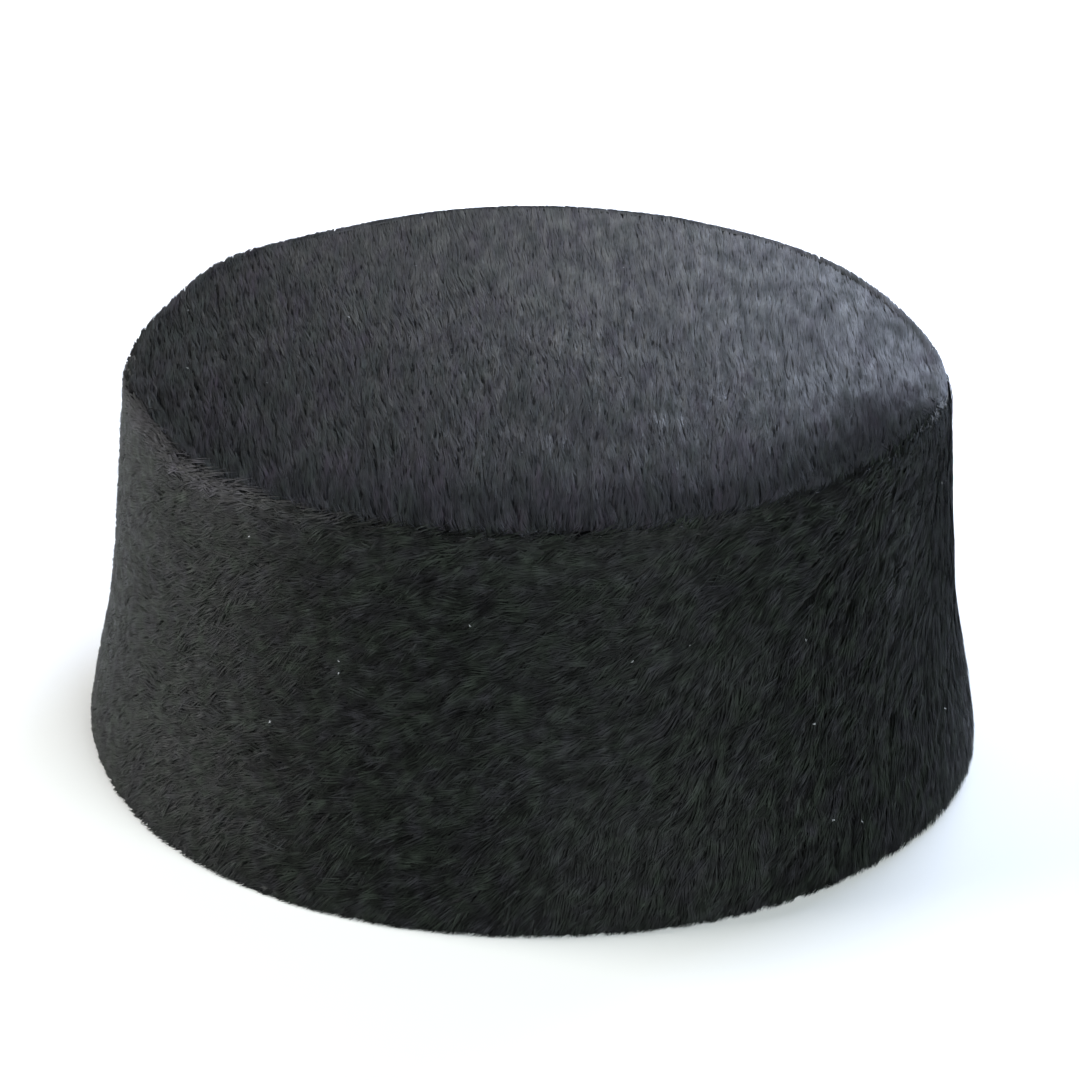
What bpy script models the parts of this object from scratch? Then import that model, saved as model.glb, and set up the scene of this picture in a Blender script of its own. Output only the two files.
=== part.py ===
"""A black pile-cloth kufi of the pillbox kind, standing on its open foot.

Two pieces of cloth: a side band, near upright above and flared in its lower
third, and a flat oval crown panel set inside the top of the band, so that the
two meet in a crease. The hat is hollow and open below. X runs across the
head, Y from the front (-Y) to the back (+Y), Z up, and the foot is at z = 0.
"""

import math

import bmesh
import bpy

MM = 0.001

# Outline seen from above, outside of the cloth, at the foot and at the crease.
FOOT_HALF_WIDTH = 91.9 * MM
FOOT_HALF_DEPTH = 97.5 * MM
TOP_HALF_WIDTH = 81.9 * MM
TOP_HALF_DEPTH = 86.4 * MM
SQUARENESS = 2.05  # 2 is an ellipse, more is squarer

# Heights and cloth
CREASE_HEIGHT = 78.0 * MM  # where the band and the crown meet, on average
CLOTH = 2.5 * MM  # pile cloth with its backing
PIECE_GAP = 0.3 * MM
SHOULDER_RADIUS = 1.5 * MM  # the band's rolled top edge, outer side
LIP_RADIUS = 1.0 * MM  # the same edge, inner side
LIP_RISE = 0.5 * MM  # the band's edge above the crown's edge
HEM_CLOTH = 3.2 * MM  # the foot, where the cloth is turned in
HEM_RADIUS = 1.8 * MM  # the foot's outer corner
HEM_INNER_RADIUS = 0.6 * MM
CROWN_EDGE_RADIUS = 1.2 * MM
CROWN_UNDER_RADIUS = 0.6 * MM
CROWN_RISE = 1.4 * MM  # how far the middle of the crown stands above its edge

# How the mesh is divided
AROUND = 80
ARC_STEPS = 3

# The band's wall from foot to crease. height is a share of the wall's height,
# flare is 1 on the foot's outline and 0 on the outline at the crease.
WALL_SECTIONS = (
    # name, height, flare
    ("above hem", 0.060, 0.952),
    ("widest", 0.120, 0.880),
    ("flare", 0.200, 0.757),
    ("flare middle", 0.280, 0.618),
    ("knee", 0.380, 0.455),
    ("above knee", 0.500, 0.335),
    ("middle", 0.650, 0.222),
    ("upper", 0.800, 0.122),
    ("below shoulder", 0.920, 0.049),
)

# Where the soft hat departs from its plain oval, as humps and hollows around
# it. Angles are in degrees from the right side (+X) towards the back (+Y).
# The other columns are in millimetres at the middle of the hump.
SHAPING = (
    # name, angle, spread, push out at top, push out at foot, crease up, lip up
    ("right side", 2, 18, 1.5, -1.7, -2.2, 0.0),
    ("back right flat", 22, 12, 0.4, 0.0, -0.5, 0.0),
    ("back right corner", 45, 14, 1.5, 0.0, -0.3, 0.0),
    ("back", 90, 48, 0.9, 0.0, 3.7, 0.0),
    ("back left corner", 141, 14, 1.5, 0.0, 1.3, 0.3),
    ("left side", 176, 18, 1.5, 0.9, -0.4, 0.5),
    ("front left", 213, 28, -1.3, -1.2, -3.3, 0.8),
    ("front", 265, 28, 0.4, -0.4, -1.2, 0.0),
    ("front right", 318, 26, 1.0, -0.6, 0.0, 0.0),
)

# Rings of the crown panel, as shares of its half-width
CROWN_RINGS = (0.14, 0.30, 0.46, 0.62, 0.76, 0.88)


def around(angle, column):
    """The sum of one SHAPING column's humps at this angle, in metres."""
    total = 0.0
    for row in SHAPING:
        away = (math.degrees(angle) - row[1] + 180) % 360 - 180
        total += row[column] * MM * math.exp(-((away / row[2]) ** 2))
    return total


def oval(angle, half_width, half_depth):
    """Distance from the middle to a squarish oval at this angle."""
    across = abs(math.cos(angle) / half_width) ** SQUARENESS
    along = abs(math.sin(angle) / half_depth) ** SQUARENESS
    return (across + along) ** (-1 / SQUARENESS)


def crease_height(angle):
    return CREASE_HEIGHT + around(angle, 5)


def wall_radius(angle, height, flare):
    """Outside of the cloth at a share of the wall's height."""
    half_width = TOP_HALF_WIDTH + (FOOT_HALF_WIDTH - TOP_HALF_WIDTH) * flare
    half_depth = TOP_HALF_DEPTH + (FOOT_HALF_DEPTH - TOP_HALF_DEPTH) * flare
    push = around(angle, 3) * height + around(angle, 4) * (1 - height)
    return oval(angle, half_width, half_depth) + push


def arc(middle, radius, start, end, steps):
    """Points (in from the outline, up) on an arc, angles in degrees."""
    points = []
    for i in range(steps + 1):
        turn = math.radians(start + (end - start) * i / steps)
        points.append(
            (middle[0] + radius * math.cos(turn), middle[1] + radius * math.sin(turn))
        )
    return points


def band_section(angle):
    """The band's closed cross-section as (radius, height), outside first."""
    crease = crease_height(angle)
    top = crease + LIP_RISE + around(angle, 6)
    foot = wall_radius(angle, 0.0, 1.0)
    brim = wall_radius(angle, 1.0, 0.0)
    section = [
        (foot - d, z) for d, z in arc((HEM_RADIUS, HEM_RADIUS), HEM_RADIUS, 270, 180, ARC_STEPS)
    ]
    walls = [
        (wall_radius(angle, height, flare), height * crease)
        for _, height, flare in WALL_SECTIONS
    ]
    section += walls
    section += [
        (brim - d, z)
        for d, z in arc(
            (SHOULDER_RADIUS, top - SHOULDER_RADIUS), SHOULDER_RADIUS, 180, 90, ARC_STEPS
        )
    ]
    section += [
        (brim - d, z)
        for d, z in arc((CLOTH - LIP_RADIUS, top - LIP_RADIUS), LIP_RADIUS, 90, 0, ARC_STEPS)
    ]
    section += [(radius - CLOTH, height) for radius, height in reversed(walls[::2])]
    section += [
        (foot - d, z)
        for d, z in arc(
            (HEM_CLOTH - HEM_INNER_RADIUS, HEM_INNER_RADIUS), HEM_INNER_RADIUS, 0, -90, ARC_STEPS - 1
        )
    ]
    return section


def crown_height(share, crease):
    """Top of the crown at a share of the way from its middle to its edge."""
    middle = CREASE_HEIGHT + CROWN_RISE
    return middle + (crease - middle) * share**2


def crown_section(angle):
    """The crown's half section as (radius, height), from top middle to under middle."""
    crease = crease_height(angle)
    edge = wall_radius(angle, 1.0, 0.0) - CLOTH - PIECE_GAP
    section = [(edge * share, crown_height(share, crease)) for share in CROWN_RINGS]
    section += [
        (edge - d, z)
        for d, z in arc(
            (CROWN_EDGE_RADIUS, crease - CROWN_EDGE_RADIUS), CROWN_EDGE_RADIUS, 90, 180, ARC_STEPS
        )
    ]
    under = crease - CLOTH + CROWN_UNDER_RADIUS
    section += [
        (edge - d, z)
        for d, z in arc((CROWN_UNDER_RADIUS, under), CROWN_UNDER_RADIUS, 180, 270, ARC_STEPS - 1)
    ]
    section += [
        (edge * share, crown_height(share, crease) - CLOTH)
        for share in reversed(CROWN_RINGS[1::2])
    ]
    return section


def outline_middle(angles):
    """Middle of the band's widest outline, which becomes the hat's own middle."""
    outline = [max(band_section(a))[0] for a in angles]
    xs = [r * math.cos(a) for r, a in zip(outline, angles)]
    ys = [r * math.sin(a) for r, a in zip(outline, angles)]
    return (min(xs) + max(xs)) / 2, (min(ys) + max(ys)) / 2


def rings_to_piece(name, section_at, closed_loop, poles):
    """Turns one section per angle into a closed mesh."""
    angles = [2 * math.pi * i / AROUND for i in range(AROUND)]
    off_x, off_y = outline_middle(angles)
    sections = [section_at(a) for a in angles]
    count = len(sections[0])
    points = [
        (r * math.cos(a) - off_x, r * math.sin(a) - off_y, z)
        for a, section in zip(angles, sections)
        for r, z in section
    ]
    faces = []
    steps = count if closed_loop else count - 1
    for i in range(AROUND):
        j = (i + 1) % AROUND
        for k in range(steps):
            m = (k + 1) % count
            faces.append((i * count + k, j * count + k, j * count + m, i * count + m))
    if poles:
        top, under = len(points), len(points) + 1
        points += [(-off_x, -off_y, poles[0]), (-off_x, -off_y, poles[1])]
        for i in range(AROUND):
            j = (i + 1) % AROUND
            faces.append((top, i * count, j * count))
            faces.append((under, j * count + count - 1, i * count + count - 1))
    mesh = bpy.data.meshes.new(name)
    mesh.from_pydata(points, [], faces)
    work = bmesh.new()
    work.from_mesh(mesh)
    bmesh.ops.recalc_face_normals(work, faces=work.faces)
    work.to_mesh(mesh)
    work.free()
    mesh.shade_smooth()
    mesh.set_sharp_from_angle(angle=math.radians(50))
    piece = bpy.data.objects.new(name, mesh)
    bpy.context.scene.collection.objects.link(piece)
    return piece


def cloth(name, colour, roughness):
    material = bpy.data.materials.new(name)
    material.use_nodes = True
    shader = material.node_tree.nodes["Principled BSDF"]
    shader.inputs["Base Color"].default_value = (*colour, 1.0)
    shader.inputs["Roughness"].default_value = roughness
    return material


for old in list(bpy.data.objects):
    bpy.data.objects.remove(old)

side_band = rings_to_piece("side_band", band_section, True, None)
side_band.data.materials.append(cloth("band_plush", (0.012, 0.013, 0.013), 0.9))

crown_middle = CREASE_HEIGHT + CROWN_RISE
crown_top = rings_to_piece(
    "crown_top", crown_section, False, (crown_middle, crown_middle - CLOTH)
)
crown_top.data.materials.append(cloth("crown_plush", (0.016, 0.016, 0.018), 0.9))
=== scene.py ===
"""A black pile-cloth kufi on a pale floor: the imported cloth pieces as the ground,
with the pile itself as joined meshes of fine bent strands."""

import math

import bpy
import numpy as np
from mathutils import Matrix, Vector


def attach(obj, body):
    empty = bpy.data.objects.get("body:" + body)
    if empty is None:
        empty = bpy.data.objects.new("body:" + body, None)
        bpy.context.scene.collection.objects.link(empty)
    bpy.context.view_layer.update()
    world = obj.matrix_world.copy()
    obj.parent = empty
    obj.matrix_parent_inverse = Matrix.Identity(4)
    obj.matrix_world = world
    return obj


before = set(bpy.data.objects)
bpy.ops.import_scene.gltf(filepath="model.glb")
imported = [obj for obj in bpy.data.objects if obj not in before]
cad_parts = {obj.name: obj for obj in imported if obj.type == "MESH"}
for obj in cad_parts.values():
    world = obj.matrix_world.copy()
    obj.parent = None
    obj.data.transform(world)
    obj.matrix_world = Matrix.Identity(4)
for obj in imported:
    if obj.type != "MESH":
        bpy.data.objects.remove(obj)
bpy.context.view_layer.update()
scene = bpy.context.scene
MM = 0.001

# The photograph's camera, fitted to the hat's outline
CAMERA_ELEVATION = 23.7
CAMERA_DISTANCE = 0.897
CAMERA_AIM = (0.00044, -0.0002, 0.0388)
CAMERA_LENS = 144.9
CAMERA_SHIFT = (7.5 / 1080, 4.8 / 1080)

# Pile
CROWN_LENGTH = 4.6 * MM
BAND_LENGTH = 5.0 * MM
CROWN_LEAN = (
    # how far back from the middle in millimetres, degrees that the pile rises
    (-90, 21),
    (-75, 19),
    (-50, 16.5),
    (0, 12),
    (60, 7),
    (90, 3),
)
STRAND_WIDTH = 0.34 * MM
ROOT_SHARE = 0.35  # of a strand's length, before it bends over
ROUND_NORMALS = 0.24  # how far a ribbon's edges are shaded as the sides of a fibre
SOFT_NORMALS = 0.66
BLOTCHES = 3.0
CORNER = 3.0 * MM  # the pile rounds the hat's top edge with this radius
PILE_HEIGHT = 1.15 * MM  # and stands no further out than this, there and at the foot
CROWN_STRANDS = 104000
BAND_STRANDS = 192000
UV_CELLS = 256  # strands across the colour map of a pile piece


# ---------------------------------------------------------------- surfaces


def unit(v):
    return v / np.maximum(np.linalg.norm(v, axis=1, keepdims=True), 1e-12)


def smooth_surface(node):
    """A CAD node's triangles, with one normal for each place on it."""
    mesh = node.data
    places = np.empty(len(mesh.vertices) * 3, np.float32)
    mesh.vertices.foreach_get("co", places)
    places = places.reshape(-1, 3).astype(float)
    mesh.calc_loop_triangles()
    corners = np.empty(len(mesh.loop_triangles) * 3, np.int32)
    mesh.loop_triangles.foreach_get("vertices", corners)
    corners = corners.reshape(-1, 3)
    _, first, same = np.unique(
        np.round(places * 1e6).astype(np.int64), axis=0, return_index=True, return_inverse=True
    )
    places, corners = places[first], same.reshape(-1)[corners]
    a, b, c = places[corners].transpose(1, 0, 2)
    turned = np.cross(b - a, c - a)
    normals = np.zeros_like(places)
    for k in range(3):
        np.add.at(normals, corners[:, k], turned)
    return places, corners, unit(turned), np.linalg.norm(turned, axis=1) / 2, unit(normals)


def scatter(surface, keep, count, rng):
    """count points spread evenly by area over the kept triangles, with smooth normals."""
    places, corners, _, area, normals = surface
    share = np.where(keep, area, 0.0)
    chosen = rng.choice(len(corners), count, p=share / share.sum())
    s, t = rng.random(count), rng.random(count)
    over = s + t > 1
    s[over], t[over] = 1 - s[over], 1 - t[over]
    weights = np.stack([1 - s - t, s, t], 1)[:, :, None]
    return (
        (places[corners[chosen]] * weights).sum(1),
        unit((normals[corners[chosen]] * weights).sum(1)),
    )


def lattice(i, j, seed):
    """A fixed random number from 0 to 1 for each whole-number pair."""
    mixed = (i.astype(np.int64) * 374761393 + j.astype(np.int64) * 668265263 + seed * 974634777) & 0xFFFFFFFF
    mixed = ((mixed ^ (mixed >> 13)) * 1274126177) & 0xFFFFFFFF
    mixed = ((mixed ^ (mixed >> 16)) * 2246822519) & 0xFFFFFFFF
    return ((mixed ^ (mixed >> 15)) & 0xFFFFFF) / 0xFFFFFF


def noise(u, v, size, seed):
    """Smooth noise from -1 to 1 with features of this size."""
    x, y = u / size, v / size
    i, j = np.floor(x), np.floor(y)
    fx, fy = x - i, y - j
    fx, fy = fx * fx * (3 - 2 * fx), fy * fy * (3 - 2 * fy)
    low = lattice(i, j, seed) * (1 - fx) + lattice(i + 1, j, seed) * fx
    high = lattice(i, j + 1, seed) * (1 - fx) + lattice(i + 1, j + 1, seed) * fx
    return 2 * (low * (1 - fy) + high * fy) - 1


def nearest_clump(u, v, turn, size, stretch, seed):
    """Offset to, and numbers of, the middle of the clump that each strand joins.
    Clumps are stretched along the nap, which runs at the angle turn."""
    i0, j0 = np.floor(u / size), np.floor(v / size)
    best = np.full(len(u), 1e9)
    du, dv = np.zeros(len(u)), np.zeros(len(u))
    bi, bj = i0.copy(), j0.copy()
    c, s = np.cos(turn), np.sin(turn)
    reach = range(-math.ceil(stretch), math.ceil(stretch) + 1)
    for di in reach:
        for dj in reach:
            i, j = i0 + di, j0 + dj
            mu = (i + 0.5 + 0.9 * (lattice(i, j, seed) - 0.5)) * size - u
            mv = (j + 0.5 + 0.9 * (lattice(i, j, seed + 1) - 0.5)) * size - v
            lengthwise, sideways = mu * c + mv * s, -mu * s + mv * c
            away = (lengthwise / stretch) ** 2 + (sideways * stretch) ** 2
            closer = away < best
            best[closer], du[closer], dv[closer] = away[closer], mu[closer], mv[closer]
            bi[closer], bj[closer] = i[closer], j[closer]
    return du, dv, bi, bj


def smoothstep(x, low, high):
    x = np.clip((x - low) / (high - low), 0, 1)
    return x * x * (3 - 2 * x)


# ------------------------------------------------------------------ strands


def strands(name, place, normal, facing, right, turn, length, lean, rough, lip_highlight, dull_and_painted_shade, seed, uv, rng, shape, settle):
    """Joined bent ribbons. facing is the direction that the pile is shaded by, right the
    surface's own first direction, turn the nap's angle from it, rough how much its clumps
    differ, uv the place on the surface's own chart in metres. settle lays points down
    round the hat's edges."""
    count = len(place)
    up = unit(np.cross(normal, right))
    right = np.cross(up, normal)
    du, dv, ci, cj = nearest_clump(
        uv[0], uv[1], turn, shape["clump_size"], shape["clump_stretch"], seed
    )
    pick = [(2 * lattice(ci, cj, seed + 10 + k) - 1) * rough for k in range(6)]
    own = rng.standard_normal((count, 5)).clip(-2, 2) * rough[:, None]

    def vary(name, k):
        return shape[name][0] * pick[k] + shape[name][1] * own[:, k]

    turn = turn + vary("turn", 0)
    nap = right * np.cos(turn)[:, None] + up * np.sin(turn)[:, None]
    side = np.cross(normal, nap)
    sideways = ((right * du[:, None] + up * dv[:, None]) * side).sum(1)
    length = length * (1 + vary("length", 1))
    tip_lean = np.radians(lean + vary("lean", 2))
    root_lean = tip_lean + np.radians(shape["bend"] + 5 * own[:, 3])

    def step(share, angle, gather):
        forward = nap * np.cos(angle)[:, None] + normal * np.sin(angle)[:, None]
        move = forward * (length * share)[:, None] + side * (sideways * gather)[:, None]
        return move, forward

    root = place - normal * 0.15 * MM
    first, first_way = step(ROOT_SHARE, root_lean, shape["gather"][0])
    second, second_way = step(1 - ROOT_SHARE, tip_lean, shape["gather"][1])
    middle = root + first
    tip = middle + second
    height = 1 + 0.15 * pick[3] + 0.10 * own[:, 4]
    middle, tip = settle(middle, 0.8 * height), settle(tip, height)
    for points in (root, middle, tip):
        points[:, 2] = np.maximum(points[:, 2], 0.25 * MM)
    roll = np.radians(vary("roll", 4))
    across = side * np.cos(roll)[:, None] + normal * np.sin(roll)[:, None]
    wide = across * (STRAND_WIDTH / 2 * (1 + 0.2 * pick[5]))[:, None]
    points = np.stack([root - wide, root + wide, middle - wide * 0.9, middle + wide * 0.9, tip], 1)

    # Each ribbon is shaded as a round fibre, softened towards the cloth's own normal.
    def shading(way, bulge):
        face = unit(np.cross(way, across))
        face = unit(face * (1 - SOFT_NORMALS) + facing * SOFT_NORMALS)
        return unit(face + across * bulge)

    middle_way = unit(first_way + second_way)
    normals = np.stack(
        [
            shading(first_way, -ROUND_NORMALS),
            shading(first_way, ROUND_NORMALS),
            shading(middle_way, -ROUND_NORMALS),
            shading(middle_way, ROUND_NORMALS),
            shading(second_way, 0.0),
        ],
        1,
    )

    mesh = bpy.data.meshes.new(name)
    mesh.vertices.add(count * 5)
    mesh.vertices.foreach_set("co", points.astype(np.float32).ravel())
    start = np.arange(count)[:, None] * 5
    loops = (start + np.array([[1, 0, 2, 3, 3, 2, 4]])).astype(np.int32)
    mesh.loops.add(count * 7)
    mesh.loops.foreach_set("vertex_index", loops.ravel())
    mesh.polygons.add(count * 2)
    starts = np.arange(count)[:, None] * 7 + np.array([[0, 4]])
    mesh.polygons.foreach_set("loop_start", starts.astype(np.int32).ravel())
    mesh.update(calc_edges=True)
    mesh.shade_smooth()
    mesh.normals_split_custom_set_from_vertices(normals.reshape(-1, 3).astype(np.float32))

    tips = np.tile(np.array([0, 0, 0.5, 0.5, 1.0], np.float32), count)
    mesh.attributes.new("tip", "FLOAT", "POINT").data.foreach_set("value", tips)
    shade = 0.8 * lattice(ci, cj, seed + 20) + 0.2 * rng.random(count)
    shade = (0.5 + (shade - 0.5) * rough).astype(np.float32)
    mesh.attributes.new("shade", "FLOAT", "POINT").data.foreach_set("value", np.repeat(shade, 5))
    # lip_highlight: where a lighter colour is painted as a highlight on the band's raised top edge
    mesh.attributes.new("lip_highlight", "FLOAT", "POINT").data.foreach_set(
        "value", np.repeat(lip_highlight.astype(np.float32), 5)
    )
    # dull_and_painted_shade: where the pile is painted darker as painted shade, and made less glossy
    mesh.attributes.new("dull_and_painted_shade", "FLOAT", "POINT").data.foreach_set("value", np.repeat(dull_and_painted_shade.astype(np.float32), 5))
    cell = np.stack([np.arange(count) % UV_CELLS, np.arange(count) // UV_CELLS], 1)
    spots = np.array([[0.8, 0.1], [0.2, 0.1], [0.2, 0.5], [0.8, 0.5], [0.8, 0.5], [0.2, 0.5], [0.5, 0.9]])
    chart = (cell[:, None] + spots[None]) / UV_CELLS
    mesh.uv_layers.new(name="OFBake").uv.foreach_set("vector", chart.astype(np.float32).ravel())
    piece = bpy.data.objects.new(name, mesh)
    scene.collection.objects.link(piece)
    return piece


# ---------------------------------------------------------------- materials


def nodes_of(name):
    material = bpy.data.materials.new(name)
    material.use_nodes = True
    tree = material.node_tree
    return material, tree, tree.nodes["Principled BSDF"]


def add(tree, kind, **values):
    node = tree.nodes.new(kind)
    for key, value in values.items():
        setattr(node, key, value)
    return node


def math_node(tree, operation, first, second=None, third=None):
    node = add(tree, "ShaderNodeMath", operation=operation)
    for slot, value in zip(node.inputs, (first, second, third)):
        if value is None:
            continue
        if isinstance(value, (int, float)):
            slot.default_value = value
        else:
            tree.links.new(value, slot)
    return node.outputs[0]


def mix_colours(tree, factor, first, second):
    node = add(tree, "ShaderNodeMix", data_type="RGBA")
    for slot, value in ((node.inputs[0], factor), (node.inputs[6], first), (node.inputs[7], second)):
        if isinstance(value, tuple):
            slot.default_value = (*value, 1.0)
        elif isinstance(value, (int, float)):
            slot.default_value = value
        else:
            tree.links.new(value, slot)
    return node.outputs[2]


def noise_node(tree, vector, scale, detail=2.0):
    node = add(tree, "ShaderNodeTexNoise")
    node.inputs["Scale"].default_value = scale
    node.inputs["Detail"].default_value = detail
    tree.links.new(vector, node.inputs["Vector"])
    return node.outputs["Fac"]


def scaled(tree, colour, factor):
    node = add(tree, "ShaderNodeVectorMath", operation="SCALE")
    tree.links.new(colour, node.inputs[0])
    tree.links.new(factor, node.inputs["Scale"])
    return node.outputs[0]


def pile_material(name, body, plum, wear_and_highlight, roughness, specular, stretch):
    """Near-black dyed fibre, painted darker at the root as painted shade deep in the pile, in clumps
    and blotches a little lighter or darker, and in broad patches plum or slate. Along the band's raised
    top edge on the left it is painted lighter as a painted highlight, and where painted shade is put it is darker and
    has less gloss.
    stretch draws the spots out along X, Y and Z."""
    material, tree, shader = nodes_of(name)
    place = add(tree, "ShaderNodeTexCoord").outputs["Object"]
    tip = add(tree, "ShaderNodeAttribute", attribute_name="tip").outputs["Fac"]
    shade = add(tree, "ShaderNodeAttribute", attribute_name="shade").outputs["Fac"]
    lip_highlight = add(tree, "ShaderNodeAttribute", attribute_name="lip_highlight").outputs["Fac"]
    dull_and_painted_shade = add(tree, "ShaderNodeAttribute", attribute_name="dull_and_painted_shade").outputs["Fac"]
    drawn = add(tree, "ShaderNodeVectorMath", operation="MULTIPLY")
    tree.links.new(place, drawn.inputs[0])
    drawn.inputs[1].default_value = tuple(1 / k for k in stretch)
    drawn = drawn.outputs[0]
    patches = math_node(tree, "MULTIPLY_ADD", noise_node(tree, drawn, 210.0, 2.0), 3.4, -1.3)
    colour = mix_colours(tree, patches, body, plum)
    # Painted highlight: wear_and_highlight here is the lighter colour painted along the band's raised top edge.
    colour = mix_colours(tree, lip_highlight, colour, wear_and_highlight)
    grain = noise_node(tree, drawn, 400.0, 2.0)
    blotches = math_node(tree, "MULTIPLY_ADD", grain, BLOTCHES, 1 - BLOTCHES / 2)
    clumps = math_node(tree, "MULTIPLY_ADD", shade, 1.8, 0.1)
    # Painted shade: each strand is painted darker towards its root, deep in the pile.
    root_shade = math_node(tree, "MULTIPLY_ADD", math_node(tree, "POWER", tip, 0.8), 0.6, 0.5)
    light = math_node(tree, "MULTIPLY", math_node(tree, "MULTIPLY", blotches, clumps), root_shade)
    # Painted shade: darker where dull_and_painted_shade is set.
    light = math_node(tree, "MULTIPLY", light, math_node(tree, "MULTIPLY_ADD", dull_and_painted_shade, -0.5, 1.0))
    tree.links.new(scaled(tree, colour, math_node(tree, "MAXIMUM", light, 0.1)), shader.inputs["Base Color"])
    # Clumps and spots are also glossier or duller.
    gloss = math_node(tree, "MULTIPLY_ADD", noise_node(tree, drawn, 440.0, 2.0), 0.6, roughness - 0.30 - 0.10)
    gloss = math_node(tree, "MULTIPLY_ADD", shade, 0.20, gloss)
    gloss = math_node(tree, "MULTIPLY_ADD", dull_and_painted_shade, 0.45, gloss)
    gloss = math_node(tree, "MINIMUM", math_node(tree, "MAXIMUM", gloss, 0.32), 0.9)
    tree.links.new(gloss, shader.inputs["Roughness"])
    shader.inputs["Specular IOR Level"].default_value = specular
    return material


def ground_material(name, outside, inside):
    """The cloth under the pile: a dark knitted ground, and inside a plain woven backing."""
    material, tree, shader = nodes_of(name)
    place = add(tree, "ShaderNodeTexCoord").outputs["Object"]
    parts = add(tree, "ShaderNodeSeparateXYZ")
    tree.links.new(place, parts.inputs[0])
    x, y, z = parts.outputs
    geometry = add(tree, "ShaderNodeNewGeometry")
    flat = add(tree, "ShaderNodeVectorMath", operation="DOT_PRODUCT")
    level = add(tree, "ShaderNodeVectorMath", operation="MULTIPLY_ADD")
    tree.links.new(place, level.inputs[0])
    level.inputs[1].default_value = (1, 1, 2)
    level.inputs[2].default_value = (0, 0, -0.07)
    tree.links.new(level.outputs[0], flat.inputs[0])
    tree.links.new(geometry.outputs["Normal"], flat.inputs[1])
    is_inside = math_node(tree, "LESS_THAN", flat.outputs["Value"], 0.0)
    turn = math_node(tree, "MULTIPLY", math_node(tree, "ARCTAN2", y, x), 0.088)
    around = add(tree, "ShaderNodeCombineXYZ")
    tree.links.new(turn, around.inputs[0])
    tree.links.new(z, around.inputs[1])
    flatwise = add(tree, "ShaderNodeCombineXYZ")
    tree.links.new(x, flatwise.inputs[0])
    tree.links.new(y, flatwise.inputs[1])
    normal_parts = add(tree, "ShaderNodeSeparateXYZ")
    tree.links.new(geometry.outputs["Normal"], normal_parts.inputs[0])
    is_level = math_node(tree, "GREATER_THAN", math_node(tree, "ABSOLUTE", normal_parts.outputs[2]), 0.7)
    chart = add(tree, "ShaderNodeMix", data_type="VECTOR")
    tree.links.new(is_level, chart.inputs[0])
    tree.links.new(around.outputs[0], chart.inputs[4])
    tree.links.new(flatwise.outputs[0], chart.inputs[5])
    threads = []
    for direction in ("X", "Y"):
        wave = add(tree, "ShaderNodeTexWave", bands_direction=direction, wave_profile="SIN")
        wave.inputs["Scale"].default_value = 210.0
        wave.inputs["Distortion"].default_value = 0.6
        wave.inputs["Detail"].default_value = 1.0
        tree.links.new(chart.outputs[1], wave.inputs["Vector"])
        threads.append(wave.outputs["Fac"])
    weave = math_node(tree, "MULTIPLY", threads[0], threads[1])
    fuzz = noise_node(tree, place, 900.0, 4.0)
    wear_and_highlight = noise_node(tree, place, 60.0, 3.0)
    woven = mix_colours(tree, math_node(tree, "MULTIPLY_ADD", weave, 0.8, 0.1), tuple(0.45 * c for c in inside), inside)
    woven = mix_colours(tree, math_node(tree, "MULTIPLY", wear_and_highlight, 0.5), woven, tuple(1.5 * c for c in inside))
    knitted = mix_colours(tree, fuzz, tuple(0.4 * c for c in outside), outside)
    tree.links.new(mix_colours(tree, is_inside, knitted, woven), shader.inputs["Base Color"])
    height = math_node(tree, "MULTIPLY", weave, is_inside)
    height = math_node(tree, "ADD", height, math_node(tree, "MULTIPLY", fuzz, 0.5))
    bump = add(tree, "ShaderNodeBump")
    bump.inputs["Strength"].default_value = 0.5
    bump.inputs["Distance"].default_value = 0.0004
    tree.links.new(height, bump.inputs["Height"])
    tree.links.new(bump.outputs[0], shader.inputs["Normal"])
    shader.inputs["Roughness"].default_value = 0.85
    shader.inputs["Specular IOR Level"].default_value = 0.25
    shader.inputs["Sheen Weight"].default_value = 0.15
    return material


# --------------------------------------------------------------- the ground

band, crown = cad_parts["side_band"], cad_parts["crown_top"]
band.data.materials.clear()
band.data.materials.append(ground_material("band_ground", (0.010, 0.010, 0.010), (0.030, 0.030, 0.033)))
crown.data.materials.clear()
crown.data.materials.append(ground_material("crown_ground", (0.010, 0.010, 0.011), (0.030, 0.030, 0.033)))

# ----------------------------------------------------------------- the pile

# In both pile materials the last colour is that of the painted highlight along the band's raised top edge.
band_pile = pile_material(
    "band_pile", (0.0071, 0.0090, 0.0071), (0.0078, 0.0078, 0.0090), (0.0261, 0.0239, 0.0304), 0.55, 0.075, (1, 1, 1)
)
# The crown's copy of the pile is painted lighter than the band's, and is glossier: painted light on the hat's top.
crown_pile = pile_material(
    "crown_pile", (0.0096, 0.0115, 0.0103), (0.0143, 0.0113, 0.0157), (0.0261, 0.0239, 0.0304), 0.52, 0.122, (1, 4, 1)
)

# Nap on the band, in degrees up to the right as the outside is seen.
NAP_ROUND_BAND = (
    # place, under the seam, middle, foot
    (0, 50, 60, 75),
    (30, 40, 50, 60),
    (80, 25, 30, 40),
    (140, 20, 22, 26),
    (180, 20, 22, 24),
    (220, 20, 23, 25),
    (262, 21, 22, 40),
    (275, 22, 26, 50),
    (300, 22, 54, 55),
    (335, 40, 50, 72),
    (360, 50, 60, 75),
)

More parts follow.
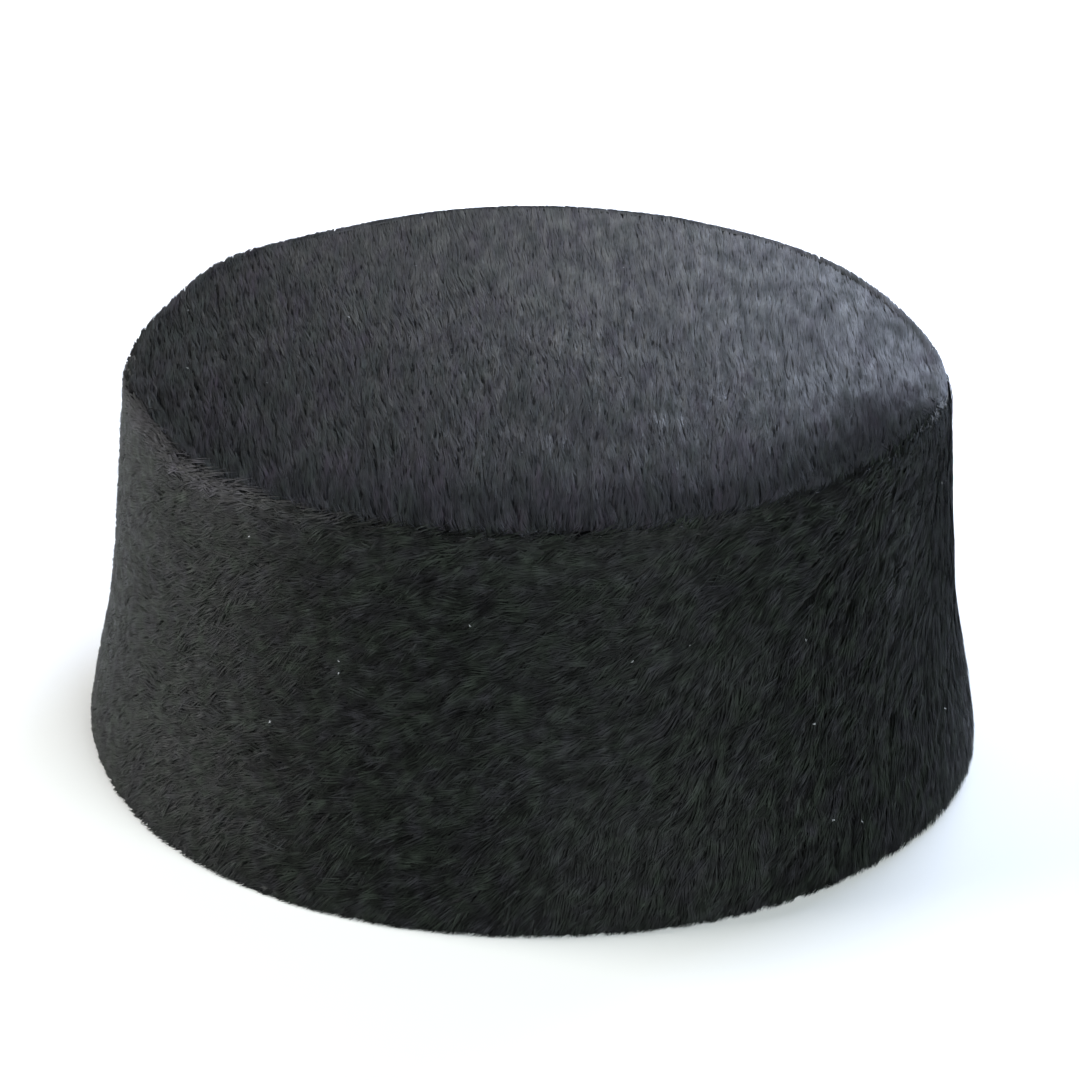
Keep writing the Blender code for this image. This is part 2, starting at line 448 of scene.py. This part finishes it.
# How far the crown's pile reaches out over the band's top edge, and the band's own
# pile stands back from it: 0 at the crown's edge, 1 at the band's outer wall.
CROWN_PILE_REACH = (
    # place, reach, depth of the pile's roots over the furrow in millimetres
    (0, 1.2, 0.5),
    (40, 1.25, 0.5),
    (90, 1.25, 0.5),
    (150, 1.25, 0.5),
    (180, 1.2, 0.5),
    (188, 1.1, 0.5),
    (196, 0.2, 0.7),
    (215, 0.2, 0.8),
    (250, 0.2, 0.7),
    (272, 0.1, 1.3),
    (290, 0.3, 0.6),
    (320, 0.45, 0.5),
    (345, 0.6, 0.5),
    (354, 1.1, 0.5),
    (360, 1.2, 0.5),
)


# How much more the crown's pile rises towards the seam, and is painted darker there as painted shade, with less gloss
SEAM_DIP = (
    # place, dip
    (0, 0.0),
    (190, 0.0),
    (215, 0.5),
    (250, 0.3),
    (270, 0.2),
    (300, 0.7),
    (325, 1.5),
    (340, 1.0),
    (348, 0.3),
    (355, 0.0),
    (360, 0.0),
)
# How much of the band's pile under the seam lies up over it
SEAM_WISPS = (
    # place, share
    (0, 0.0),
    (190, 0.0),
    (205, 0.4),
    (240, 0.5),
    (262, 0.5),
    (270, 0.35),
    (278, 0.4),
    (290, 0.6),
    (325, 0.6),
    (345, 0.2),
    (360, 0.0),
)

# Where a lighter colour is painted as a highlight along the band's raised top edge on the left
PAINTED_LIP_HIGHLIGHT = (
    # place, how much highlight is painted
    (150, 0.0),
    (185, 0.35),
    (205, 0.65),
    (225, 0.60),
    (240, 0.15),
    (260, 0.0),
)


def by_place(table, column, azimuth):
    rows = np.array(table, float)
    return np.interp(np.degrees(azimuth) % 360, rows[:, 0], rows[:, column])


def by_depth(table, y):
    rows = np.array(table, float)
    return np.interp(y / MM, rows[:, 0], rows[:, 1])


def seam_reach(place, rim_at):
    """Where a place lies between the crown's edge (0) and the band's outer wall (1),
    and on down the wall, a unit for each width of the band's top edge."""
    azimuth = np.arctan2(place[:, 1], place[:, 0])
    out = np.hypot(place[:, 0], place[:, 1]) - rim_at(azimuth)
    width = 2.8 * MM
    return out / width


def outline(surface, low):
    """Greatest distance from the middle at each angle, of what is above a height."""
    places = surface[0]
    places = places[places[:, 2] > low]
    azimuth, away = np.arctan2(places[:, 1], places[:, 0]), np.hypot(places[:, 0], places[:, 1])
    steps = np.radians(np.arange(-180, 181, 4.5))
    rim = np.array([away[np.abs((azimuth - s + np.pi) % (2 * np.pi) - np.pi) < 0.05].max() for s in steps])
    return lambda angle: np.interp((angle + np.pi) % (2 * np.pi) - np.pi, steps, rim)


def highest(surface):
    """Greatest height at each angle."""
    places = surface[0]
    azimuth = np.arctan2(places[:, 1], places[:, 0])
    steps = np.radians(np.arange(-180, 181, 4.5))
    top = np.array([places[np.abs((azimuth - s + np.pi) % (2 * np.pi) - np.pi) < 0.05, 2].max() for s in steps])
    return lambda angle: np.interp((angle + np.pi) % (2 * np.pi) - np.pi, steps, top)


crown_surface, band_surface = smooth_surface(crown), smooth_surface(band)
crown_edge = outline(crown_surface, 0.0)
rim_out, rim_top, foot_out = outline(band_surface, 0.0715), highest(band_surface), outline(band_surface, 0.0)


def settle(points, height):
    """Lays points down that stand too far out from the rounded top edge or the foot."""
    azimuth, away = np.arctan2(points[:, 1], points[:, 0]), np.hypot(points[:, 0], points[:, 1])
    up = points[:, 2]
    most = PILE_HEIGHT * height
    over, above = away - (rim_out(azimuth) - CORNER), up - (rim_top(azimuth) - CORNER)
    reach = np.hypot(over, above)
    round_edge = (over > 0) & (above > 0) & (reach > CORNER + most)
    pull = np.where(round_edge, (CORNER + most) / np.maximum(reach, 1e-6), 1.0)
    new_over, new_above = over * pull, above * pull
    flat = (over <= 0) & (over > -6 * MM) & (above > CORNER + most)
    new_above = np.where(flat, CORNER + most, new_above)
    wall = (above <= 0) & (above > -5 * MM) & (over > CORNER + most)
    new_over = np.where(wall, CORNER + most, new_over)
    foot = up < 9 * MM
    limit = foot_out(azimuth) + 0.8 * most
    new_away = away + (new_over - over)
    new_away = np.where(foot, np.minimum(new_away, limit), new_away)
    share = new_away / np.maximum(away, 1e-6)
    return np.stack([points[:, 0] * share, points[:, 1] * share, up + (new_above - above)], 1)

# The crown's pile grows on the crown and on the part of the band's edge that it hides.
rng = np.random.default_rng(11)
middle = [s[0][s[1]].mean(1) for s in (crown_surface, band_surface)]
on_crown = crown_surface[2][:, 2] > 0.15
band_out = seam_reach(middle[1], crown_edge)
band_down = np.where(band_out > 0.9, 1 + (0.079 - middle[1][:, 2]) / (2.8 * MM), band_out)
near_top = (middle[1][:, 2] > 0.070) & (band_surface[2][:, 2] > -0.2) & (band_out > 0)
band_azimuth = np.arctan2(middle[1][:, 1], middle[1][:, 0])
under_crown_pile = near_top & (band_down < by_place(CROWN_PILE_REACH, 1, band_azimuth))
areas = [crown_surface[3][on_crown].sum(), band_surface[3][under_crown_pile].sum()]
count = int(CROWN_STRANDS * areas[0] / sum(areas))
parts = [
    scatter(crown_surface, on_crown, count, rng),
    scatter(band_surface, under_crown_pile, CROWN_STRANDS - count, rng),
]
place, normal = (np.concatenate(x) for x in zip(*parts))
azimuth = np.arctan2(place[:, 1], place[:, 0])
edge = crown_edge(azimuth) - np.hypot(place[:, 0], place[:, 1])
# Over the seam the pile's roots are level, and hide the furrow between the two cloths.
in_furrow = smoothstep(edge, -1.8 * MM, -1.4 * MM) * (1 - smoothstep(edge, 1.2 * MM, 1.6 * MM))
furrow_fill = rim_top(azimuth) - by_place(CROWN_PILE_REACH, 2, azimuth) * MM
place[:, 2] = np.where(in_furrow > 0.5, np.maximum(place[:, 2], furrow_fill), place[:, 2])
normal = unit(normal + np.array([[0, 0, 4.0]]) * in_furrow[:, None] + np.array([[0, 0, 0.6]]))
u, v = place[:, 0], place[:, 1]
lean_right = np.radians(7) * smoothstep(-u, -0.02, 0.06)
turn = math.pi / 2 + lean_right + 0.10 * noise(u, v, 14 * MM, 3) + 0.05 * noise(u, v, 5 * MM, 4)
# Next to the seam in front the pile is caught, and turns along it.
caught = 0.2 * (1 - smoothstep(edge, 0.0, 3.0 * MM)) * smoothstep(-np.sin(azimuth), -0.1, 0.4)
seam_turn = azimuth + math.pi / 2
swing = (seam_turn - turn + np.pi) % (2 * np.pi) - np.pi
swing = np.where(swing > np.pi / 2, swing - np.pi, np.where(swing < -np.pi / 2, swing + np.pi, swing))
turn = turn + swing * caught
outward = np.cos(turn - azimuth)
reach = by_place(CROWN_PILE_REACH, 1, azimuth)
room = (edge + 2.8 * MM * reach.clip(0.3, 1) + 0.3 * MM) / np.maximum(outward, 0.05)
length = CROWN_LENGTH * (1 + 0.10 * noise(u, v, 8 * MM, 5))
held = reach < 1  # where the band's edge stands in the pile's way
short = np.where(held, smoothstep(length / np.maximum(room, 0.1 * MM), 0.8, 2.0), 0)
length = np.where(held, np.minimum(length, np.maximum(room, 2.2 * MM)), length)
lean = by_depth(CROWN_LEAN, v) + 3 * noise(u, v, 10 * MM, 6)
dip = (1 - smoothstep(edge, 2 * MM, 22 * MM)) * by_place(SEAM_DIP, 1, azimuth)
# Where the pile runs out over the edge it is shorter, and ends as the band's begins.
over_edge = 1 - smoothstep(edge, -2.6 * MM, 0.4 * MM)
length = length * (1 - 0.45 * over_edge * (1 + 0.3 * noise(u, v, 1.5 * MM, 15)))
lean = lean * (1 - short) + 2 * short + 4 * dip * (1 + 0.9 * short)
right = np.tile(np.array([1.0, 0, 0]), (len(place), 1))
# The pile's top is level over the rounded edge, down to the band's outer corner.
facing = unit(normal + np.array([[0, 0, 8.0]]) * smoothstep(edge, -2.9 * MM, -2.0 * MM)[:, None])
shape = {
    "clump_size": 1.55 * MM,
    "clump_stretch": 2.4,
    # by clump, by strand
    "turn": (0.14, 0.05),
    "length": (0.15, 0.12),
    "lean": (1.6, 1.0),
    "roll": (10.0, 4.0),
    "bend": 14.0,
    "gather": (0.12, 0.20),
}
lip_highlight = np.zeros(len(place))
# Painted shade: the crown's pile is painted darker, and made less glossy, towards the seam in front and towards the
# front edge.
dull_and_painted_shade = np.clip(0.6 * dip + 0.35 * smoothstep(-v, 0.050, 0.090), 0, 1)
# The pile is smoothest at the back and right.
rough = 1.3 - 0.85 * smoothstep(v + 0.6 * u, -0.020, 0.065)
halves = (("crown_pile_left", place[:, 0] < 0), ("crown_pile_right", place[:, 0] >= 0))
for name, part in halves:
    piece = strands(
        name, place[part], normal[part], facing[part], right[part], turn[part], length[part], lean[part],
        rough[part], lip_highlight[part], dull_and_painted_shade[part], 31, (u[part], v[part]), rng, shape, settle,
    )
    piece.data.materials.append(crown_pile)
    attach(piece, "root")

rng = np.random.default_rng(12)
faces = band_surface[2]
outward = (faces[:, :2] * unit(middle[1][:, :2])).sum(1)
keep = (outward > 0.12) | ((faces[:, 2] > 0.1) & (middle[1][:, 2] > 0.06))
keep &= ~under_crown_pile
place, normal = scatter(band_surface, keep, BAND_STRANDS, rng)
azimuth = np.arctan2(place[:, 1], place[:, 0]) % (2 * np.pi)
flat = np.stack([np.cos(azimuth), np.sin(azimuth), np.zeros(len(place))], 1)
left = unit(np.cross(flat, np.array([[0.0, 0, 1.0]])))  # to the left as the outside is seen
# The pile on the band's top edge is shaded as the wall below it.
onto_edge = smoothstep(normal[:, 2], 0.15, 0.6)[:, None]
facing = normal * (1 - onto_edge) + (flat + np.array([[0, 0, 0.25]])) * onto_edge
# On the right side the pile's shading normals are turned towards the front, which darkens it there, and below it is
# also painted darker as painted shade.
right_side_shade = smoothstep(np.cos(azimuth), 0.80, 0.97) * smoothstep(place[:, 2], 0.0, 0.05)
facing = unit(facing + np.array([[0, -0.35, 0]]) * right_side_shade[:, None])
u, v = azimuth * 0.088, place[:, 2]
seam, waist, foot = (by_place(NAP_ROUND_BAND, k, azimuth) for k in (1, 2, 3))
high, low = smoothstep(v, 0.048, 0.070), 1 - smoothstep(v, 0.012, 0.036)
nap = np.radians(waist + (seam - waist) * high + (foot - waist) * low)
# up = normal x left points down here, so a positive turn leans the nap downwards
turn = nap + 0.20 * noise(u, v, 16 * MM, 7) + 0.30 * noise(u, v, 6 * MM, 8)
# Under the seam in front some of the pile lies the other way, up over the seam.
below_seam = rim_top(azimuth) - v
wisps = (1 - smoothstep(below_seam, 1.0 * MM, 3.4 * MM)) * by_place(SEAM_WISPS, 1, azimuth)
turn = np.where(rng.random(len(place)) < wisps, turn + np.pi + 0.25 * rng.standard_normal(len(place)), turn)
lean = 3.5 + 2 * noise(u, v, 9 * MM, 9)
hem = 1 - smoothstep(v, 0.5 * MM, 7 * MM)
lean = lean - 3 * hem
length = BAND_LENGTH * (1 + 0.12 * noise(u, v, 9 * MM, 10)) * (1 - 0.35 * hem)
down = np.sin(turn)
room = np.maximum(place[:, 2] + 0.5 * MM, 1.5 * MM)
length = np.where(down > 0.1, np.minimum(length, room / np.maximum(down, 0.1)), length)
shape = {
    "clump_size": 1.5 * MM,
    "clump_stretch": 1.4,
    "turn": (0.50, 0.08),
    "length": (0.15, 0.12),
    "lean": (2.0, 1.0),
    "roll": (20.0, 4.0),
    "bend": 22.0,
    "gather": (0.15, 0.25),
}
# The band's top edge stands up in front of the crown on the left, and a lighter colour is painted there as a painted
# highlight along the raised lip.
lip = (1 - smoothstep(rim_top(azimuth) - v, 0.8 * MM, 3.2 * MM)) * by_place(PAINTED_LIP_HIGHLIGHT, 1, azimuth)
lip_highlight = lip * (0.75 + 0.25 * noise(u, v, 4 * MM, 14))
# Painted shade: the band's pile is painted darker, and made less glossy, on the right side.
dull_and_painted_shade = 0.45 * right_side_shade
# The pile is smoothest at the two sides.
rough = 1 - 0.5 * smoothstep(np.abs(np.cos(azimuth)), 0.80, 0.97)
cuts = np.quantile(azimuth, (1 / 3, 2 / 3))
thirds = (
    ("band_pile_back", azimuth < cuts[0]),
    ("band_pile_left", (azimuth >= cuts[0]) & (azimuth < cuts[1])),
    ("band_pile_front", azimuth >= cuts[1]),
)
for name, part in thirds:
    piece = strands(
        name, place[part], normal[part], facing[part], left[part], turn[part], length[part], lean[part],
        rough[part], lip_highlight[part], dull_and_painted_shade[part], 57, (u[part], v[part]), rng, shape, settle,
    )
    piece.data.materials.append(band_pile)
    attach(piece, "root")

# A few pale specks of lint lie in the pile.
lint, tree, shader = nodes_of("lint")
place_node = add(tree, "ShaderNodeTexCoord").outputs["Object"]
tree.links.new(
    mix_colours(tree, noise_node(tree, place_node, 900.0), (0.05, 0.052, 0.055), (0.26, 0.27, 0.28)),
    shader.inputs["Base Color"],
)
shader.inputs["Roughness"].default_value = 0.8
shader.inputs["Specular IOR Level"].default_value = 0.2
rng = np.random.default_rng(23)
LINT = (
    # name, where, slot, specks
    ("lint_crown", crown_surface, on_crown, "crown_plush", 16),
    ("lint_band", band_surface, keep, "band_plush", 44),
)
for name, surface, where, slot, count in LINT:
    place, normal = scatter(surface, where, count, rng)
    normal = unit(normal + np.array([[0.01, 0.0, 0.02]]))
    right = unit(np.cross(np.array([[0.0, 1.0, 0.3]]), normal))
    turn, length = rng.random(count) * 2 * np.pi, (0.35 + 0.5 * rng.random(count)) * MM
    piece = strands(
        name, place + normal * 1.1 * MM, normal, normal, right, turn, length, np.zeros(count), np.ones(count),
        np.zeros(count), np.zeros(count), 71, (place[:, 0], place[:, 1]), rng,
        dict(shape, turn=(0.0, 0.0), lean=(0.0, 4.0), roll=(0.0, 10.0)),
        lambda points, height: points,
    )
    piece.data.materials.append(lint)
    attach(piece, "root")

# ------------------------------------------------------------ floor, light

FLOOR_RADIUS = 0.85
floor_mesh = bpy.data.meshes.new("floor")
ring = [2 * math.pi * i / 96 for i in range(96)]
floor_mesh.from_pydata(
    [(FLOOR_RADIUS * math.cos(a), FLOOR_RADIUS * math.sin(a), 0) for a in ring], [], [tuple(range(96))]
)
floor = bpy.data.objects.new("floor", floor_mesh)
scene.collection.objects.link(floor)
material, tree, shader = nodes_of("pale_floor")
place_node = add(tree, "ShaderNodeTexCoord").outputs["Object"]
tree.links.new(
    mix_colours(tree, noise_node(tree, place_node, 3.0), (0.86, 0.86, 0.86), (0.90, 0.90, 0.90)),
    shader.inputs["Base Color"],
)
shader.inputs["Roughness"].default_value = 0.9
shader.inputs["Specular IOR Level"].default_value = 0.1
floor_mesh.materials.append(material)


# Soft boxes. Angles are from the right side towards the back, and up from the floor.
LIGHTS = (
    # name, angle, height angle, distance, width, brightness, colour
    ("back_window", 55, 20, 0.5, 0.35, 8.20, (0.85, 1.00, 1.36)),
    ("back_window_high", 72, 30, 0.5, 0.35, 2.60, (0.96, 1.00, 1.04)),
    ("back_wall", 90, 15, 0.8, 0.6, 0.80, (1.00, 1.00, 1.00)),
    ("left_window", 179, 15, 1.2, 0.9, 13.10, (1.00, 1.00, 0.97)),
    ("front_fill", 299, 20, 1.4, 1.0, 9.70, (0.92, 1.00, 1.00)),
)
for name, angle, height, distance, width, brightness, colour in LIGHTS:
    angle, height = math.radians(angle), math.radians(height)
    way = Vector((math.cos(angle) * math.cos(height), math.sin(angle) * math.cos(height), math.sin(height)))
    data = bpy.data.lights.new(name, "AREA")
    data.shape = "SQUARE"
    data.size = width
    data.energy = brightness * math.pi * width * width
    data.color = colour
    lamp = bpy.data.objects.new(name, data)
    lamp.location = way * distance + Vector((0, 0, 0.05))
    lamp.rotation_mode = "QUATERNION"
    lamp.rotation_quaternion = (-way).to_track_quat("-Z", "Y")
    lamp.visible_camera = False
    scene.collection.objects.link(lamp)

# Beyond the floor's edge everything is pale up to just over the horizon, and dark above.
world = bpy.data.worlds.new("studio")
scene.world = world
world.use_nodes = True
tree = world.node_tree
sky = add(tree, "ShaderNodeSeparateXYZ")
tree.links.new(add(tree, "ShaderNodeTexCoord").outputs["Generated"], sky.inputs[0])
fade = add(tree, "ShaderNodeMapRange", interpolation_type="SMOOTHSTEP")
for slot, value in enumerate((0.06, 0.20, 0.95, 0.0), 1):
    fade.inputs[slot].default_value = value
tree.links.new(sky.outputs[2], fade.inputs[0])
tree.nodes["Background"].inputs[0].default_value = (1.0, 1.0, 1.0, 1)
tree.links.new(fade.outputs[0], tree.nodes["Background"].inputs[1])
scene.view_settings.view_transform = "Standard"

# ------------------------------------------------------------------ camera

elevation = math.radians(CAMERA_ELEVATION)
back = Vector((0, -math.cos(elevation), math.sin(elevation)))
camera_data = bpy.data.cameras.new("camera")
camera_data.lens = CAMERA_LENS
camera_data.sensor_width = 36
camera_data.shift_x, camera_data.shift_y = CAMERA_SHIFT
camera = bpy.data.objects.new("camera", camera_data)
camera.location = Vector(CAMERA_AIM) + back * CAMERA_DISTANCE
camera.rotation_mode = "QUATERNION"
camera.rotation_quaternion = (-back).to_track_quat("-Z", "Y")
scene.collection.objects.link(camera)
scene.camera = camera
